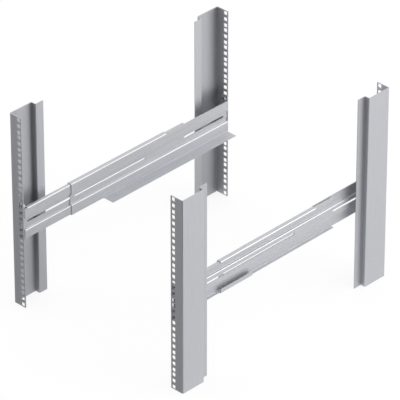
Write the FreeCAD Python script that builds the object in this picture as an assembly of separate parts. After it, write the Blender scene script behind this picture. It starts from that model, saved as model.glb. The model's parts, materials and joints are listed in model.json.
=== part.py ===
"""A pair of depth-adjustable 19-inch mounting rails: four posts and two telescopic side rails.

The right-hand half is built in place and mirrored to make the left-hand half.
X runs across the rack, Y from front to back and Z up. The origin is on the floor, at the middle.
Every size is in millimetres.
"""
import FreeCAD, Part
import math
import os

from FreeCAD import Vector

# Rack standard
unit_height = 44.45
holes_per_unit = 3
hole_end_margin = 6.35       # from the end of a unit to its nearest hole centre
square_hole = 9.5
opening_width = 450.0        # between the inner edges of the left and right posts
column_inset = 7.55          # from a post's inner edge to its hole centres

# Posts
post_units = 11
post_sheet = 2.0
post_bend = 0.5              # inside radius of every bend in a post
flange_width = 35.0          # the drilled flange, from inner edge to outer face
web_depth = 66.0             # front face to back of the step
step_width = 14.5            # how far the step brings the return flange back inwards
return_width = 21.5
set_depth = 650.0            # front faces to rear faces at the stored setting

# Side rails, both members
rail_sheet = 1.5
rail_bend = 1.0              # inside radius of every bend in a rail
slide_gap = 0.3              # running clearance between the nested members
rail_inset = 3.5             # how far the rail's inner face stands inside the posts' inner edges
rail_units_below = 4         # whole units between the floor and the underside of the rail
rail_height = 81.2
upper_band = 27.0
lower_band = 26.0
recess_depth = 4.5           # how far the slotted middle is pressed outwards
recess_slope = 75.0          # degrees, between a band and the side of the recess
slot_rise = 42.3             # from the underside of the rail to the middle of its slots
slot_height = 5.5

# Front member, the inner half of the telescope
front_length = 504.0
front_lip_setback = 11.0     # the lips stop short of the front post to leave room for the nuts
front_slot_setback = 12.0
front_slot_length = 369.0

# Main member, which wraps the front member and carries the load
main_length = 503.0
lip_width = 12.5             # from the rail's inner face to the outer edge of the top lip
lip_drop = 4.5               # how far the outer edge of the top lip is turned down
lip_length = 301.0
hook_length = 99.0
hook_height = 11.0
ledge_width = 28.0
ledge_relief = 2.0           # between the back of the hook and the front of the ledge
ledge_setback = 5.0          # from the back of the ledge to the rear post
main_slot_setback = 14.0
main_slot_length = 224.0
rear_slot_setback = 13.0
rear_slot_length = 128.0

# End tabs and their weld nuts
tab_holes = 2                # in each tab
tab_margin = 6.0             # from a hole centre to the near end of its tab
tab_head = 10.0              # from the highest hole centre to the top of the upper tab
tab_overhang = 9.5           # from the hole centres to the free edge of the tab
tab_corner = 3.0             # clipped off the free corners
tab_relief = 1.5             # between a tab and the slope of the recess
tab_root = 4.0               # flat length of band behind the fold of a tab
tab_hole = 6.6               # clearance for an M6 screw
nut_bore = 5.0               # tapping size for M6
nut_sides = 6
nut_flats = 11.0             # across the flats
nut_height = 5.0
nut_clearance = 0.3          # round a nut, in the notch beside it
cut_margin = 5.0             # how far a cutting tool runs past what it cuts

# Places that follow from those sizes
hole_pitch = (unit_height - 2 * hole_end_margin) / (holes_per_unit - 1)
post_height = post_units * unit_height
post_edge = opening_width / 2
post_outside = post_edge + flange_width
column = post_edge + column_inset
front_seat = -set_depth / 2 + post_sheet      # back of the front flange, where the front tabs lie
rear_seat = set_depth / 2 - post_sheet        # front of the rear flange, where the rear tabs lie
rail_face = post_edge - rail_inset
rail_bottom = rail_units_below * unit_height
rail_top = rail_bottom + rail_height
recess_low = rail_bottom + lower_band
recess_high = rail_top - upper_band
recess_rise = recess_depth / math.tan(math.radians(recess_slope))
slot_level = rail_bottom + slot_rise
nest = rail_sheet + slide_gap                 # from a face of the main member to the front member's
nest_rise = math.tan(math.radians(recess_slope / 2))
lip_edge = rail_face + lip_width
hook_inside = lip_edge - rail_sheet
front_lip_edge = hook_inside - rail_bend      # the lips end where the folds around them start
tab_edge = column + tab_overhang
tab_bend_depth = rail_bend + rail_sheet
nut_reach = nut_flats / 2 / math.cos(math.pi / nut_sides)    # centre to corner
main_front = rear_seat - main_length
front_end = front_seat + front_length
UP = Vector(0, 0, 1)
ACROSS = Vector(1, 0, 0)
BACK = Vector(0, 1, 0)
ORIGIN = Vector(0, 0, 0)


def left_of(start, end):
    """Unit vector to the left of the way from start to end, in the drawing plane."""
    way = (end - start).normalize()
    return Vector(-way.y, way.x, 0)


def bend(before, corner, after, radius, shift):
    """Start, middle and end of the arc that rounds a corner, on a face beside the centre line."""
    ahead = (corner - before).normalize()
    leave = (after - corner).normalize()
    angle = math.atan2(ahead.cross(leave).z, ahead.dot(leave))
    turn = math.copysign(1, angle)
    set_back = radius * math.tan(abs(angle) / 2)
    start = corner - ahead * set_back
    centre = start + left_of(before, corner) * (radius * turn)
    middle = centre + (corner - centre).normalize() * (radius - shift * turn)
    end = corner + leave * set_back
    return start + left_of(before, corner) * shift, middle, end + left_of(corner, after) * shift


def sheet_side(line, radius, shift):
    """Edges of one face of a bent sheet, with the two ends of that face."""
    first = line[0] + left_of(line[0], line[1]) * shift
    last = line[-1] + left_of(line[-2], line[-1]) * shift
    edges = []
    reached = first
    for before, corner, after in zip(line, line[1:], line[2:]):
        start, middle, end = bend(before, corner, after, radius, shift)
        edges.append(Part.LineSegment(reached, start).toShape())
        edges.append(Part.Arc(start, middle, end).toShape())
        reached = end
    edges.append(Part.LineSegment(reached, last).toShape())
    return edges, first, last


def bent_sheet(points, sheet, inside_radius, length):
    """A folded sheet that follows its centre line in the XY plane and runs upwards."""
    line = [Vector(x, y, 0) for x, y in points]
    radius = inside_radius + sheet / 2
    left, left_first, left_last = sheet_side(line, radius, sheet / 2)
    right, right_first, right_last = sheet_side(line, radius, -sheet / 2)
    ends = [
        Part.LineSegment(left_first, right_first).toShape(),
        Part.LineSegment(left_last, right_last).toShape(),
    ]
    outline = Part.Wire(Part.__sortEdges__(left + right + ends))
    return Part.Face(outline).extrude(UP * length)


def rail_run(points, front, rear):
    """A stretch of rail between two places in Y, from its centre line given in X and Z."""
    run = bent_sheet(points, rail_sheet, rail_bend, rear - front)
    run.rotate(ORIGIN, ACROSS, 90)
    run.translate(BACK * rear)
    return run


def joined(solids):
    """One clean solid from pieces that meet face to face or overlap."""
    return solids[0].fuse(solids[1:]).removeSplitter().Solids[0]


def hole_levels(units):
    """Heights of the hole centres in a number of units, from the floor up."""
    return [
        unit * unit_height + hole_end_margin + hole_pitch * row
        for unit in range(units)
        for row in range(holes_per_unit)
    ]


def front_post():
    """The right-hand front post: drilled flange, web, step and return flange in one folded sheet."""
    half = post_sheet / 2
    flange_line = front_seat - half
    web_line = post_outside - half
    step_line = flange_line - half + web_depth - half
    return_line = post_outside - step_width + half
    section = [
        (post_edge, flange_line),
        (web_line, flange_line),
        (web_line, step_line),
        (return_line, step_line),
        (return_line, step_line + half + return_width),
    ]
    post = bent_sheet(section, post_sheet, post_bend, post_height)
    holes = []
    for level in hole_levels(post_units):
        corner = Vector(column - square_hole / 2, front_seat - post_sheet - cut_margin, level - square_hole / 2)
        holes.append(Part.makeBox(square_hole, post_sheet + 2 * cut_margin, square_hole, corner))
    return post.cut(Part.makeCompound(holes)).Solids[0]


def recess_line(offset):
    """Centre line of the pressed middle, for a member nested outwards by an offset."""
    band = rail_face + offset + rail_sheet / 2
    spread = (offset + rail_sheet / 2) * nest_rise
    low = recess_low - spread
    high = recess_high + spread
    return [
        (band, low),
        (band + recess_depth, low + recess_rise),
        (band + recess_depth, high - recess_rise),
        (band, high),
    ]


def slot_tool(front, length):
    """Cutter for a round-ended slot along the pressed middle."""
    radius = slot_height / 2
    inner = rail_face - cut_margin
    reach = lip_width + 2 * cut_margin
    straight = length - slot_height
    bar = Part.makeBox(reach, straight, slot_height, Vector(inner, front + radius, slot_level - radius))
    ends = [
        Part.makeCylinder(radius, reach, Vector(inner, place, slot_level), ACROSS)
        for place in (front + radius, front + length - radius)
    ]
    return bar.fuse(ends).removeSplitter()


def clipped_tab(inner, low, high, seat, away):
    """A flat tab on a seat plane, with its two free corners clipped."""
    near_face = min(seat, seat + away * rail_sheet)
    plate = Part.makeBox(tab_edge - inner, rail_sheet, high - low, Vector(inner, near_face, low))
    corners = [
        edge
        for edge in plate.Edges
        if edge.BoundBox.XMin > tab_edge - rail_sheet and edge.BoundBox.YLength > rail_sheet / 2
    ]
    return plate.makeChamfer(tab_corner, corners)


def end_tab(offset, seat, away, bend_span, tab_span, levels):
    """A tab folded outwards from a band at its end, drilled for rack screws."""
    band = rail_face + offset + rail_sheet / 2
    flat = band + rail_bend + rail_sheet / 2
    line = [
        (band, seat + away * (tab_bend_depth + tab_root)),
        (band, seat + away * rail_sheet / 2),
        (flat + tab_corner, seat + away * rail_sheet / 2),
    ]
    fold = bent_sheet(line, rail_sheet, rail_bend, bend_span[1] - bend_span[0])
    fold.translate(UP * bend_span[0])
    tab = joined([fold, clipped_tab(flat, tab_span[0], tab_span[1], seat, away)])
    holes = [
        Part.makeCylinder(
            tab_hole / 2,
            rail_sheet + 2 * cut_margin,
            Vector(column, seat - cut_margin - rail_sheet / 2, level),
            BACK,
        )
        for level in levels
    ]
    return tab.cut(Part.makeCompound(holes)).Solids[0]


def tab_levels():
    """Heights of the first holes above the rail's underside, and of the last ones near its top."""
    levels = hole_levels(post_units)
    lower = [level for level in levels if level > rail_bottom]
    upper = [level for level in levels if level < rail_top + hole_end_margin]
    return lower[:tab_holes], upper[-tab_holes:]


def end_tabs(offset, seat, away, band_low, band_high):
    """Both tabs at one end of a member whose bands reach between two heights."""
    lower, upper = tab_levels()
    spread = (offset + rail_sheet / 2) * nest_rise + tab_relief
    lower_fold = (band_low, recess_low - spread)
    upper_fold = (recess_high + spread, band_high)
    lower_tab = (lower[0] - tab_margin, lower[-1] + tab_margin)
    upper_tab = (upper[0] - tab_margin, upper[-1] + tab_head)
    return [
        end_tab(offset, seat, away, fold, span, levels)
        for fold, span, levels in ((lower_fold, lower_tab, lower), (upper_fold, upper_tab, upper))
    ]


def nut_notches(seat, away):
    """Cutters that clear the pressed middle from the nuts at one end of a member."""
    lower, upper = tab_levels()
    size = Vector(2 * (nut_reach + nut_clearance), nut_height + nut_clearance, nut_flats + 2 * nut_clearance)
    near_face = seat + min(away * rail_sheet, away * (rail_sheet + size.y))
    return [
        Part.makeBox(size.x, size.y, size.z, Vector(column - size.x / 2, near_face, level - size.z / 2))
        for level in lower + upper
    ]


def front_member():
    """The member that is fixed to the front post: a channel with a lip at its top and its bottom."""
    half = rail_sheet / 2
    band = rail_face + nest + half
    bottom = rail_bottom + nest
    top = rail_top - nest
    lip_start = front_seat + front_lip_setback
    bottom_lip = [(front_lip_edge, bottom + half), (band, bottom + half)]
    top_lip = [(band, top - half), (front_lip_edge, top - half)]
    recess = recess_line(nest)
    plain = rail_run([(band, bottom)] + recess + [(band, top)], front_seat + tab_bend_depth, lip_start)
    channel = rail_run(bottom_lip + recess + top_lip, lip_start, front_end)
    tabs = end_tabs(nest, front_seat, 1, bottom, top)
    member = joined([channel, plain] + tabs)
    slot = slot_tool(front_seat + front_slot_setback, front_slot_length)
    return member.cut([slot] + nut_notches(front_seat, 1)).Solids[0]


def main_member():
    """The member that is fixed to the rear post, with a folded top lip, a hook and the load ledge."""
    half = rail_sheet / 2
    band = rail_face + half
    floor = rail_bottom + half
    hook_line = hook_inside + half
    hook = [(hook_line, rail_bottom + hook_height), (hook_line, floor), (band, floor)]
    ledge = [(rail_face - ledge_width, floor), (band, floor)]
    plain_bottom = [(band, rail_bottom)]
    ceiling = rail_top - half
    lip = [(band, ceiling), (hook_line, ceiling), (hook_line, rail_top - lip_drop)]
    plain_top = [(band, rail_top)]
    hook_end = main_front + hook_length
    ledge_start = hook_end + ledge_relief
    lip_end = main_front + lip_length
    ledge_end = rear_seat - ledge_setback
    tab_start = rear_seat - tab_bend_depth
    stretches = [
        (hook, lip, main_front, hook_end),
        (plain_bottom, lip, hook_end, ledge_start),
        (ledge, lip, ledge_start, lip_end),
        (ledge, plain_top, lip_end, ledge_end),
        (plain_bottom, plain_top, ledge_end, tab_start),
    ]
    runs = [rail_run(low + recess_line(0) + high, front, rear) for low, high, front, rear in stretches]
    tabs = end_tabs(0, rear_seat, -1, rail_bottom, rail_top)
    member = joined(runs + tabs)
    slots = [
        slot_tool(main_front + main_slot_setback, main_slot_length),
        slot_tool(rear_seat - rear_slot_setback - rear_slot_length, rear_slot_length),
    ]
    return member.cut(slots + nut_notches(rear_seat, -1)).Solids[0]


def weld_nut(seat, away, level):
    """A hexagon nut behind a tab, with two flats level, bored for its thread."""
    turns = [2 * math.pi * side / nut_sides for side in range(nut_sides)]
    corners = [Vector(nut_reach * math.cos(turn), 0, nut_reach * math.sin(turn)) for turn in turns]
    body = Part.Face(Part.makePolygon(corners + corners[:1])).extrude(BACK * nut_height)
    nut = body.cut(Part.makeCylinder(nut_bore / 2, nut_height, ORIGIN, BACK))
    nearest = min(away * rail_sheet, away * (rail_sheet + nut_height))
    nut.translate(Vector(column, seat + nearest, level))
    return nut.Solids[0]


def nut_pair(seat, away, levels):
    """The nuts of one tab."""
    return Part.makeCompound([weld_nut(seat, away, level) for level in levels])


def right_half():
    """Every piece of the right-hand half, by name."""
    lower, upper = tab_levels()
    post = front_post()
    return {
        "front_post": post,
        "rear_post": post.mirror(ORIGIN, BACK),
        "rail_front_member": front_member(),
        "rail_main_member": main_member(),
        "front_lower_nuts": nut_pair(front_seat, 1, lower),
        "front_upper_nuts": nut_pair(front_seat, 1, upper),
        "rear_lower_nuts": nut_pair(rear_seat, -1, lower),
        "rear_upper_nuts": nut_pair(rear_seat, -1, upper),
    }


os.makedirs("parts", exist_ok=True)
for name, shape in right_half().items():
    shape.exportStep("parts/right_" + name + ".step")
    shape.mirror(ORIGIN, ACROSS).exportStep("parts/left_" + name + ".step")
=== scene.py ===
# %% [markdown]
# # Depth-adjustable rack mounting rails
#
# Four folded posts with square holes stand in two pairs. In each pair a telescopic side rail joins
# the front post to the rear post. This lesson dresses the finished solids: it gives each piece its
# finish, swaps the plain weld nuts for threaded ones of the same size, sets up a small white studio
# and points a camera at it. The folded sheets themselves are neither moved nor reshaped.

# %% Load the frame
import json
import math

import bpy
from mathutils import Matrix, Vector


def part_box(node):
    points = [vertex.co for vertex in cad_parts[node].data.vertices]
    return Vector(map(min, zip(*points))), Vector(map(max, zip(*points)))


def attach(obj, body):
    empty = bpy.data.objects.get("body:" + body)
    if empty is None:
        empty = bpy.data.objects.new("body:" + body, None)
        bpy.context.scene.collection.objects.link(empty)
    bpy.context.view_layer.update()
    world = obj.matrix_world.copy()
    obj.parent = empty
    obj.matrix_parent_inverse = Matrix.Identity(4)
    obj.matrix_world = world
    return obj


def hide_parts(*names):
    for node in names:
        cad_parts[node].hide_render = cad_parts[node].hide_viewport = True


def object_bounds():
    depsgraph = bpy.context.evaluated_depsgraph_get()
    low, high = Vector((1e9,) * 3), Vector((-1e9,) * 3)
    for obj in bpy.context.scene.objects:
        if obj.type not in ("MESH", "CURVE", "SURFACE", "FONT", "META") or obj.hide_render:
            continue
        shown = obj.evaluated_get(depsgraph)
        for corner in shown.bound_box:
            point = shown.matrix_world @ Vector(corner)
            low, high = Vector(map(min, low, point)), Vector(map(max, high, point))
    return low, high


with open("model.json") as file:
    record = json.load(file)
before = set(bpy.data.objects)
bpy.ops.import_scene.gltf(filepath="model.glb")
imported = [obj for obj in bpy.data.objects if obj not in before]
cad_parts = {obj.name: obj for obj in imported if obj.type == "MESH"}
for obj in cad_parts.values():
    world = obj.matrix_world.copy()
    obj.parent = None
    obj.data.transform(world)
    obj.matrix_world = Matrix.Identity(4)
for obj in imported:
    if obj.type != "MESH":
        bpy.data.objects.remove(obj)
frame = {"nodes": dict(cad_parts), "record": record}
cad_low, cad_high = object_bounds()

MM = 0.001
print("loaded", len(frame["nodes"]), "nodes, box", [round(v, 3) for v in cad_high - cad_low], "m")

# %% [markdown]
# ## Helpers for colours and nodes
#
# Colours are easiest to pick as sRGB hex values, but shaders calculate in linear light, so one
# function converts them. A second function adds a node, sets its options and fills its inputs,
# either with a value or with a link from another node. Every material below is written with it.

# %% Helpers
FULL_CHANNEL = 255
SRGB_KNEE = 0.04045        # below this the sRGB curve is a straight line
SRGB_SLOPE = 12.92         # of that line
SRGB_OFFSET = 0.055
SRGB_POWER = 2.4


def linear(hex_colour):
    """Linear RGBA, not see-through, from an sRGB hex value such as "c8c9cd"."""
    channels = [byte / FULL_CHANNEL for byte in bytes.fromhex(hex_colour)]
    straight = [
        c / SRGB_SLOPE if c <= SRGB_KNEE else ((c + SRGB_OFFSET) / (1 + SRGB_OFFSET)) ** SRGB_POWER
        for c in channels
    ]
    return (*straight, 1.0)


def add(tree, kind, inputs=None, **options):
    """A new node with its options set, and each named input given a value or a link."""
    node = tree.nodes.new(kind)
    for name, value in options.items():
        setattr(node, name, value)
    for name, value in (inputs or {}).items():
        if isinstance(value, bpy.types.NodeSocket):
            tree.links.new(value, node.inputs[name])
        else:
            node.inputs[name].default_value = value
    return node


def empty_material(name):
    """A material with an empty node tree, ready to be filled."""
    material = bpy.data.materials.new(name)
    material.use_nodes = True
    material.node_tree.nodes.clear()
    return material, material.node_tree


print("helpers ready, middle grey is", round(linear("808080")[0], 3), "in linear light")

# %% [markdown]
# ## Roll lines and zinc grains
#
# The posts and rails are folded from cold-rolled steel sheet and zinc plated. The rolls leave very
# fine lines along the sheet, and the zinc grows in small grains, some a little brighter than
# others. A picture could show both, but it would need a UV map. Noise in object coordinates needs
# none and keeps its real scale, because the coordinates are in metres. For the lines it is
# stretched along the sheet, for the grains it is left even.

# %% Roll lines and grains
ROLL_LINE = 1.2 * MM       # across one roll line; real lines are ten times finer and would not show
ROLL_LENGTH = 90 * MM      # along one roll line
LINE_DETAIL = 2.0          # layers of finer noise in the lines
LINE_SCALE = 1.0           # the stretched coordinates already count in lines
GRAIN_SIZE = 3 * MM        # across one grain of zinc; real grains are finer and would not show
GRAIN_DETAIL = 3.0
GRAIN_SHARE = 0.5          # of the unevenness; the rest comes from the lines


def roll_pattern(tree, along):
    """The roll lines along one axis, and their mix with the grains."""
    place = add(tree, "ShaderNodeTexCoord").outputs["Object"]
    stretch = [1 / ROLL_LENGTH if axis == along else 1 / ROLL_LINE for axis in "XYZ"]
    rolled = add(tree, "ShaderNodeMapping", {"Vector": place, "Scale": stretch}).outputs["Vector"]
    lines = add(tree, "ShaderNodeTexNoise", {
        "Vector": rolled, "Scale": LINE_SCALE, "Detail": LINE_DETAIL}).outputs["Fac"]
    grains = add(tree, "ShaderNodeTexNoise", {
        "Vector": place, "Scale": 1 / GRAIN_SIZE, "Detail": GRAIN_DETAIL}).outputs["Fac"]
    uneven = add(tree, "ShaderNodeMix", {"Factor": GRAIN_SHARE, "A": lines, "B": grains})
    return lines, uneven.outputs["Result"]


print("roll lines", round(ROLL_LINE / MM, 1), "mm wide, grains", round(GRAIN_SIZE / MM, 1), "mm")

# %% [markdown]
# ## Worn bend lines with a painted highlight
#
# The folding press wears the outside of each bend smoother than the flat faces, and its colour is
# made lighter there too: a painted highlight, the bright line that a bend catches, on top of that
# real wear. The faces of a bend could be picked by hand, but then a changed solid would need new
# picks. Here the surface tells where they are: on a bend it leans between two of the main
# directions, so the product of those two parts of its normal is large, and on a flat face it is
# nearly zero. The inside of a bend leans as well, but it lies in a corner and is less open, so it
# gets no painted highlight.

# %% Bends
FLAT_LEAN = 0.27           # product of the normal's two parts on the steepest pressed face
# from this product on, a bend gets all of its wear and its painted highlight
BEND_LEAN = 0.42           # the same product where a bend counts as rubbed bright
CLOSED = 0.85              # openness of an inside corner
OPEN = 0.98                # openness of the outside of a bend


def bend_wear_and_highlight(tree, along, openness):
    """Zero on flat faces and inside corners, one on the outside of a bend: its wear and painted highlight."""
    normal = add(tree, "ShaderNodeNewGeometry").outputs["Normal"]
    lean = add(tree, "ShaderNodeVectorMath", {0: normal}, operation="ABSOLUTE")
    parts = add(tree, "ShaderNodeSeparateXYZ", {0: lean.outputs[0]})
    first, second = [parts.outputs[axis] for axis in "XYZ" if axis != along]
    product = add(tree, "ShaderNodeMath", {0: first, 1: second}, operation="MULTIPLY")
    bent = add(tree, "ShaderNodeMapRange", {
        "Value": product.outputs[0], "From Min": FLAT_LEAN, "From Max": BEND_LEAN})
    outside = add(tree, "ShaderNodeMapRange", {"Value": openness, "From Min": CLOSED, "From Max": OPEN})
    both = {0: bent.outputs["Result"], 1: outside.outputs["Result"]}
    return add(tree, "ShaderNodeMath", both, operation="MULTIPLY").outputs[0]


# The two parts of a unit normal multiply to half the sine of twice its lean.
flat_angle, bend_angle = [math.degrees(math.asin(2 * lean) / 2) for lean in (FLAT_LEAN, BEND_LEAN)]
# from the second lean on, the outside of a bend gets its smoother wear and its painted highlight
print("flat up to", round(flat_angle), "degrees of lean, rubbed bright from", round(bend_angle))

# %% [markdown]
# ## Zinc-plated sheet steel
#
# Zinc is a metal, so there is no colour under its surface: what the eye sees is a blurred, slightly
# bluish reflection of the room and of the neighbouring faces. One grey would do for a flat plate,
# but not here. Inside corners get a darker grey, a painted shade where the corner falls into
# shadow. The Ambient Occlusion node finds them. It looks at its own piece only, so a piece gets no
# painted shade from its neighbours. Lines and grains then vary the colour and the blur, and the
# outside of each bend gets its wear and its painted highlight.
#
# The rails are also passivated after plating. That thin film scatters part of the light like paint
# does, so their metallic value is a little below one, and their grains show more.

# %% Zinc-plated sheet
CORNER_RAYS = 8            # rays that look for an inside corner
BLUR_SPREAD = 0.06         # by how much lines and grains raise and lower the roughness
ROLL_DEPTH = 0.02 * MM     # from the top of a roll line to its bottom
ROLL_SHOWN = 0.1           # share of that depth that the bump shows


def zinc_plated_sheet(name, along, shades, corner_shade_reach, metal_share, blur, rubbed_blur, patchiness):
    """Satin plated sheet, rolled and folded along one axis, from a painted corner shade, a plain shade and a
    painted bend highlight.
    """
    # painted shade and painted highlight: the first colour darkens inside corners where shade falls, the last
    # lightens the outside of a bend where it catches the light
    painted_corner_shade, plain, rubbed_and_highlight = [linear(shade) for shade in shades]
    material, tree = empty_material(name)
    lines, uneven = roll_pattern(tree, along)
    # how open a point is: it drives the painted corner shade and keeps the painted highlight off inside
    # corners
    openness = add(tree, "ShaderNodeAmbientOcclusion", {"Distance": corner_shade_reach},
                   samples=CORNER_RAYS, only_local=True).outputs["AO"]
    wear_and_highlight = bend_wear_and_highlight(tree, along, openness)

    # painted shade: inside corners take the darker corner colour, open faces the plain one
    sheet = add(tree, "ShaderNodeMix", {"Factor": openness, "A": painted_corner_shade, "B": plain}, data_type="RGBA")
    # painted highlight: the outside of a bend takes the lighter colour; its lower roughness below is real
    # wear
    tone = add(tree, "ShaderNodeMix", {"Factor": wear_and_highlight, "A": sheet.outputs["Result"], "B": rubbed_and_highlight},
               data_type="RGBA")
    speckle = add(tree, "ShaderNodeMapRange", {
        "Value": uneven, "To Min": 1 - patchiness, "To Max": 1 + patchiness})
    colour = add(tree, "ShaderNodeVectorMath", {
        0: tone.outputs["Result"], "Scale": speckle.outputs["Result"]}, operation="SCALE")

    dull = add(tree, "ShaderNodeMapRange", {
        "Value": uneven, "To Min": blur - BLUR_SPREAD, "To Max": blur + BLUR_SPREAD})
    satin = add(tree, "ShaderNodeMix", {"Factor": wear_and_highlight, "A": dull.outputs["Result"], "B": rubbed_blur})
    ridge = add(tree, "ShaderNodeBump", {
        "Height": lines, "Strength": ROLL_SHOWN, "Distance": ROLL_DEPTH})
    metal = add(tree, "ShaderNodeBsdfPrincipled", {
        "Base Color": colour.outputs[0], "Metallic": metal_share,
        "Roughness": satin.outputs["Result"], "Normal": ridge.outputs["Normal"]})
    add(tree, "ShaderNodeOutputMaterial", {"Surface": metal.outputs["BSDF"]})
    return material


# each first shade is the painted shade of inside corners, and each last one the painted highlight on the
# outside of a bend
post_zinc = zinc_plated_sheet(
    "zinc_plated_posts", along="Z", shades=("9a9b9e", "cbccd0", "d4d5d8"), corner_shade_reach=35 * MM,
    metal_share=1.0, blur=0.50, rubbed_blur=0.40, patchiness=0.14)
rail_zinc = zinc_plated_sheet(
    "zinc_plated_rails", along="Y", shades=("c0c1c5", "c8c9cd", "d8d9dc"), corner_shade_reach=5 * MM,
    metal_share=0.85, blur=0.50, rubbed_blur=0.30, patchiness=0.30)
print("made", post_zinc.name, "and", rail_zinc.name)

# %% [markdown]
# ## Zinc-plated nuts
#
# The weld nuts are cold formed from steel wire, welded to the tabs and plated with the rails.
# Forming leaves their faces a little uneven, so the pale bluish zinc has brighter and duller
# patches. The thread is painted dark: a painted shade where the narrow bore would lie in shadow.
# Two materials could tell outside and thread apart, but their border would be a hard line. The
# Ambient Occlusion node gives a soft one.

# %% Zinc-plated nuts
FORMING_MARK = 0.8 * MM    # across one patch
MARK_DETAIL = 2.0          # layers of finer noise in the patches
MARK_BLUR = (0.3, 0.55)    # roughness of the brightest and of the dullest patch
# the thread's dark colour is a painted shade, faded in by the Ambient Occlusion node over this reach
THREAD_SHADE_REACH = 6 * MM      # how near the next wall is inside a thread
THREAD_PAINTED_SHADE = "2e2f31"
NUT_ZINC = "b4b7bc"


def zinc_plated_nut(name):
    """Plated cold-formed steel: a metal with dull patches outside and a painted dark shade in the thread."""
    material, tree = empty_material(name)
    place = add(tree, "ShaderNodeTexCoord").outputs["Object"]
    marks = add(tree, "ShaderNodeTexNoise", {
        "Vector": place, "Scale": 1 / FORMING_MARK, "Detail": MARK_DETAIL})
    brightest, dullest = MARK_BLUR
    dulled = add(tree, "ShaderNodeMapRange", {
        "Value": marks.outputs["Fac"], "To Min": brightest, "To Max": dullest})
    openness = add(tree, "ShaderNodeAmbientOcclusion", {"Distance": THREAD_SHADE_REACH},
                   samples=CORNER_RAYS, only_local=True).outputs["AO"]
    # painted shade: the closed thread takes the dark colour, the open faces the zinc
    tone = add(tree, "ShaderNodeMix", {
        "Factor": openness, "A": linear(THREAD_PAINTED_SHADE), "B": linear(NUT_ZINC)}, data_type="RGBA")
    metal = add(tree, "ShaderNodeBsdfPrincipled", {
        "Base Color": tone.outputs["Result"], "Metallic": 1.0, "Roughness": dulled.outputs["Result"]})
    add(tree, "ShaderNodeOutputMaterial", {"Surface": metal.outputs["BSDF"]})
    return material


nut_zinc = zinc_plated_nut("zinc_plated_nuts")
print("made", nut_zinc.name)

# %% [markdown]
# ## Dress the solids
#
# The record says which material slot each piece belongs to. Finishes could be handed out piece by
# piece, but the record already knows, so each node takes the finish of its slot. The material slots
# are filled in place, so the mesh itself stays as it was built.

# %% Dress the solids
finish_of_slot = {"post_sheet_steel": post_zinc, "rail_sheet_steel": rail_zinc, "nut_steel": nut_zinc}
for subpart in frame["record"]["subparts"]:
    node = frame["nodes"][subpart["node"]]
    node.data.materials.clear()
    node.data.materials.append(finish_of_slot[subpart["material_slot"]])

# %% [markdown]
# ## Rings of a weld nut
#
# The solids have a plain hexagon with a plain bore. A real weld nut is also trimmed by a cone that
# takes its outer corners off, countersunk at both ends of the bore, and tapped. A Screw modifier
# could wind the thread, but it would leave open ends to close by hand. Here the nut is a stack of
# rings with the same number of points: up the bore, over the top and down the six sides. In the
# bore each point moves in and out with its height and angle, and that alone makes the thread wind.

# %% Rings of a nut
NUT_SIDES = 6
TAPPED_BORE = 5.0 * MM                # tapping size for M6
THREAD_PITCH = 1.0 * MM
THREAD_DEPTH = 0.5 * MM
THREAD_RINGS = 4                      # rings in one turn of the thread
COUNTERSINK = 0.4 * MM
TRIM_SHARE = 0.95                     # the round top face against the width over the flats
TRIM_ANGLE = math.radians(30)


def hexagon_radius(turn, flats):
    """From the centre of a hexagon to its side, at an angle from one corner."""
    side = math.tau / NUT_SIDES
    return flats / 2 / math.cos(turn % side - side / 2)


def thread_radius(level, turn):
    """From the axis to the flank of the thread, at a height and an angle."""
    share = (level / THREAD_PITCH - turn / math.tau) % 1
    return TAPPED_BORE / 2 + THREAD_DEPTH * (1 - abs(2 * share - 1))


def nut_rings(turns, flats, height):
    """Rings of radius and height: up the bore, over the top and down the sides."""
    mouth = TAPPED_BORE / 2 + THREAD_DEPTH
    trimmed = TRIM_SHARE * flats / 2
    tapped = height - 2 * COUNTERSINK
    count = round(tapped / THREAD_PITCH * THREAD_RINGS)
    levels = [COUNTERSINK + tapped * ring / count for ring in range(count + 1)]
    sides = [hexagon_radius(turn, flats) for turn in turns]
    return [
        [(mouth, 0) for turn in turns],
        *[[(thread_radius(level, turn), level) for turn in turns] for level in levels],
        [(mouth, height) for turn in turns],
        [(trimmed, height) for turn in turns],
        [(radius, height - (radius - trimmed) * math.tan(TRIM_ANGLE)) for radius in sides],
        [(radius, 0) for radius in sides],
    ]


print("thread from", round(TAPPED_BORE / MM, 1), "to", round((TAPPED_BORE + 2 * THREAD_DEPTH) / MM, 1), "mm")

# %% [markdown]
# ## Nuts on their tabs
#
# Two weld nuts sit behind each end tab of a rail. Their place and size could be written down again,
# but they are read from the box of their solids, so they fit whatever the solids are. BMesh joins
# the rings to a closed skin, with one more strip from the last ring back to the first. Steep edges
# are marked sharp, so that smooth shading rounds the bore and leaves the six sides flat. Each pair
# rides with its tab.

# %% Nuts on their tabs
import bmesh

ROUND_STEPS = 36                      # points in one ring
SHARP_ANGLE = math.radians(35)


def add_nut(mesh, seat, away, flats, height):
    """Joins the rings of one nut into a closed skin, standing on its seat."""
    turns = [math.tau * step / ROUND_STEPS for step in range(ROUND_STEPS)]
    loops = []
    for ring in nut_rings(turns, flats, height):
        offsets = [
            Vector((radius * math.cos(turn), away * level, radius * math.sin(turn)))
            for turn, (radius, level) in zip(turns, ring)
        ]
        loops.append([mesh.verts.new(seat + offset) for offset in offsets])
    for ring, following in zip(loops, loops[1:] + loops[:1]):
        for step in range(ROUND_STEPS):
            beside = (step + 1) % ROUND_STEPS
            mesh.faces.new((ring[step], ring[beside], following[beside], following[step]))


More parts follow.
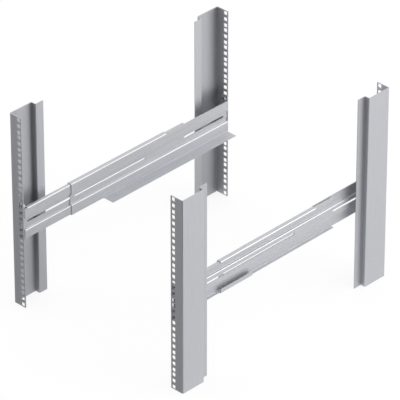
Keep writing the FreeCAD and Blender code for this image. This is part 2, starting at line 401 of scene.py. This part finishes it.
def threaded_nuts(node):
    """The two nuts of one tab, in the place and size of their solids."""
    low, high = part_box(node)
    flats = (high.x - low.x) * math.cos(math.pi / NUT_SIDES)    # the corners point left and right
    away = 1 if low.y < 0 else -1    # front nuts rise backwards from their tab, rear nuts forwards
    seat_depth = low.y if away > 0 else high.y
    mesh = bmesh.new()
    for level in (low.z + flats / 2, high.z - flats / 2):
        add_nut(mesh, Vector(((low.x + high.x) / 2, seat_depth, level)), away, flats, high.y - low.y)
    bmesh.ops.recalc_face_normals(mesh, faces=mesh.faces)
    data = bpy.data.meshes.new(node + "_threaded")
    mesh.to_mesh(data)
    mesh.free()
    data.shade_smooth()
    data.set_sharp_from_angle(angle=SHARP_ANGLE)
    data.materials.append(nut_zinc)
    piece = bpy.data.objects.new(data.name, data)
    bpy.context.scene.collection.objects.link(piece)
    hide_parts(node)
    return piece


nut_pieces = []
for body, nodes in frame["record"]["behaviour"]["bodies"].items():
    for node in nodes:
        if node.endswith("_nuts"):
            nut_pieces.append(threaded_nuts(node))
            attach(nut_pieces[-1], body)
print("threaded", len(nut_pieces), "pairs of nuts,", len(nut_pieces[0].data.polygons), "faces in a pair")

# %% [markdown]
# ## White floor
#
# The object stands on a pale studio floor. A metal surface shows what it mirrors, so the floor has
# to be as white to mirror rays as it is to the camera. It could be lit until it is white, but that
# would bleach the steel too. Instead most of its brightness is its own glow, seen by camera, mirror
# and see-through rays only, and the rest is real shading, which keeps a soft shadow under the posts.

# %% White floor
FLOOR_HALF = 8.0           # metres from the middle of the floor to its edge
FLOOR_WHITE_SHARE = 0.85   # how much of the floor's brightness is its own glow
FLOOR_PAINT = "f8f8f8"
WHITE = "ffffff"
AS_WRITTEN = 1.0           # strength at which a glowing colour looks as it is written


def seen_directly(tree):
    """One for camera, mirror and see-through rays, and zero for rays that carry light."""
    path = add(tree, "ShaderNodeLightPath")
    mirror = add(tree, "ShaderNodeMath", {0: path.outputs["Is Camera Ray"], 1: path.outputs["Is Glossy Ray"]},
                 operation="MAXIMUM")
    return add(tree, "ShaderNodeMath", {0: mirror.outputs[0], 1: path.outputs["Is Transmission Ray"]},
               operation="MAXIMUM").outputs[0]


def panel(name, corners, material):
    """A flat four-cornered sheet with one material."""
    mesh = bpy.data.meshes.new(name)
    mesh.from_pydata(corners, [], [range(len(corners))])
    mesh.materials.append(material)
    sheet = bpy.data.objects.new(name, mesh)
    bpy.context.scene.collection.objects.link(sheet)
    return sheet


def lying(left, right, front, rear, height):
    """Corners of a level rectangle."""
    return [(left, front, height), (right, front, height), (right, rear, height), (left, rear, height)]


def white_floor():
    """A pale floor that looks white and still takes a faint shadow."""
    material, tree = empty_material("studio_floor")
    share = add(tree, "ShaderNodeMath", {0: seen_directly(tree), 1: FLOOR_WHITE_SHARE}, operation="MULTIPLY")
    paint = add(tree, "ShaderNodeBsdfDiffuse", {"Color": linear(FLOOR_PAINT)})
    glow = add(tree, "ShaderNodeEmission", {"Color": linear(WHITE), "Strength": AS_WRITTEN})
    both = add(tree, "ShaderNodeMixShader", {0: share.outputs[0], 1: paint.outputs[0], 2: glow.outputs[0]})
    add(tree, "ShaderNodeOutputMaterial", {"Surface": both.outputs[0]})
    return panel("floor", lying(-FLOOR_HALF, FLOOR_HALF, -FLOOR_HALF, FLOOR_HALF, 0), material)


floor = white_floor()
print(floor.name, 2 * FLOOR_HALF, "m across")

# %% [markdown]
# ## White room
#
# Around the floor the studio is evenly white. Its walls could be built from panels, but the world
# does the same with one node, and it has no corners that the steel would mirror.

# %% White room


def white_room():
    """An evenly white world."""
    world = bpy.data.worlds.new("studio_room")
    world.use_nodes = True
    tree = world.node_tree
    tree.nodes.clear()
    walls = add(tree, "ShaderNodeBackground", {"Color": linear(WHITE), "Strength": AS_WRITTEN})
    add(tree, "ShaderNodeOutputWorld", {"Surface": walls.outputs[0]})
    bpy.context.scene.world = world
    return world


room = white_room()
print("lit by", room.name)

# %% [markdown]
# ## Soft box
#
# In an evenly white room a metal object would have no shape: every face would mirror the same
# white. Photographers give it shape with lamps and cards. A tall soft box stands at the back right
# and gives the bends that face it their white lines. A glowing panel could do that too, but an
# Area light has its size and power as plain settings, and the power follows from how bright the
# box looks in a mirror.

# %% Soft box
BOX_AZIMUTH = math.radians(38)        # from straight right, towards the back
BOX_DISTANCE = 3.5                    # lengths of the studio are in metres
BOX_WIDTH = 5.0
BOX_HEIGHT = 4.5
BOX_BRIGHTNESS = 1.05                 # added to the white of the room behind it


def towards(azimuth):
    """Level unit vector, turned from straight right towards the back."""
    return Vector((math.cos(azimuth), math.sin(azimuth), 0))


def soft_box():
    """An upright lamp on the floor that faces the object."""
    data = bpy.data.lights.new("soft_box", "AREA")
    data.shape = "RECTANGLE"
    data.size = BOX_WIDTH
    data.size_y = BOX_HEIGHT
    data.energy = BOX_BRIGHTNESS * math.pi * BOX_WIDTH * BOX_HEIGHT
    lamp = bpy.data.objects.new("soft_box", data)
    way = towards(BOX_AZIMUTH)
    lamp.location = way * BOX_DISTANCE + Vector((0, 0, BOX_HEIGHT / 2))
    lamp.rotation_euler = way.to_track_quat("Z", "Y").to_euler()
    lamp.visible_camera = False
    bpy.context.scene.collection.objects.link(lamp)
    return lamp


box = soft_box()
print("soft box at", [round(v, 2) for v in box.location], "with", round(box.data.energy), "watts")

# %% [markdown]
# ## Cards and a flag
#
# Grey cards lie on the floor around the object. The one in front is dark, so the faces that look
# forwards turn darker than the sides, and the one on the left darkens the feet of the left posts. A
# black card and an upright black flag at the front right deepen the inside corners, which mirror
# them after two bounces. A small grey card covers the near corner of the black one, or the front
# bend of the right post would mirror it as a black line. Painted cards would change with every
# lamp. These glow in one even grey that only mirror rays see, so to the camera the floor under
# them stays white.

# %% Cards and a flag
FLAG_AZIMUTH = math.radians(-45)
FLAG_DISTANCE = 3.0
FLAG_WIDTH = 3.4
FLAG_HEIGHT = 2.2
CARD_LIFT = 1 * MM                    # above the floor; a card on another one lies twice as high
CARD_REACH = 2.5                      # from the middle to the far edges of the cards
CORNER_SIDE = 0.6                     # side of the small square card
LEFT_CARD_PAST = 0.4                  # how far the left card goes on behind the object


def card(name, corners, grey):
    """A card of one even grey that only mirror rays can see."""
    material, tree = empty_material(name)
    paper = add(tree, "ShaderNodeEmission", {"Color": linear(grey), "Strength": AS_WRITTEN})
    add(tree, "ShaderNodeOutputMaterial", {"Surface": paper.outputs[0]})
    sheet = panel(name, corners, material)
    sheet.visible_camera = False
    sheet.visible_shadow = False
    sheet.visible_diffuse = False
    return sheet


def flag_corners():
    """Corners of an upright sheet that faces the object."""
    centre = towards(FLAG_AZIMUTH) * FLAG_DISTANCE
    along = Vector((-centre.y, centre.x, 0)).normalized() * FLAG_WIDTH / 2
    rise = Vector((0, 0, FLAG_HEIGHT))
    return [centre - along, centre + along, centre + along + rise, centre - along + rise]


middle = (cad_low + cad_high) / 2
left, right, front, rear = cad_low.x, cad_high.x, cad_low.y, cad_high.y
cards = [
    card("front_card", lying(-CARD_REACH, right, -CARD_REACH, front, CARD_LIFT), "969697"),
    card("dark_card", lying(right, CARD_REACH, -CARD_REACH, front, CARD_LIFT), "161616"),
    card("corner_card", lying(right, right + CORNER_SIDE, front - CORNER_SIDE, front, 2 * CARD_LIFT),
         "a8a8a9"),
    card("left_card", lying(left, middle.x, front, rear + LEFT_CARD_PAST, CARD_LIFT), "c3c3c4"),
    card("middle_card", lying(middle.x, right, front, rear, CARD_LIFT), "e5e5e6"),
    card("right_card", lying(right, CARD_REACH, front, CARD_REACH, CARD_LIFT), "ececed"),
    card("black_flag", flag_corners(), "101010"),
]
print("set up", ", ".join(sheet.name for sheet in cards))

# %% [markdown]
# ## Camera
#
# The photograph was taken from the right front, a little above, from far away: the upright edges
# stay parallel and the long lines converge only slightly. An orthographic camera would lose that
# slight convergence, so this one has a long lens. Its numbers come from fitting a camera to the
# corners of the posts, whose sizes are known.

# %% Camera
VIEW_AZIMUTH = math.radians(43.867)   # from straight in front, towards the right
VIEW_ELEVATION = math.radians(32.015)
VIEW_DISTANCE = 9.634                 # metres
FRAME_HALF = 0.04569                  # half the picture's width over the distance
AIM_SHIFT = Vector((2.7, -4.4, -8.1)) * MM    # from the object's middle to the picture's

camera_data = bpy.data.cameras.new("camera")
camera_data.lens = camera_data.sensor_width / 2 / FRAME_HALF
camera = bpy.data.objects.new("camera", camera_data)
back = Vector((math.sin(VIEW_AZIMUTH) * math.cos(VIEW_ELEVATION),
               -math.cos(VIEW_AZIMUTH) * math.cos(VIEW_ELEVATION),
               math.sin(VIEW_ELEVATION)))
camera.location = middle + AIM_SHIFT + back * VIEW_DISTANCE
camera.rotation_euler = (math.pi / 2 - VIEW_ELEVATION, 0, VIEW_AZIMUTH)
bpy.context.scene.collection.objects.link(camera)
bpy.context.scene.camera = camera
bpy.context.scene.view_settings.view_transform = "Standard"
print("camera", round(camera_data.lens, 1), "mm lens at", [round(v, 2) for v in camera.location])
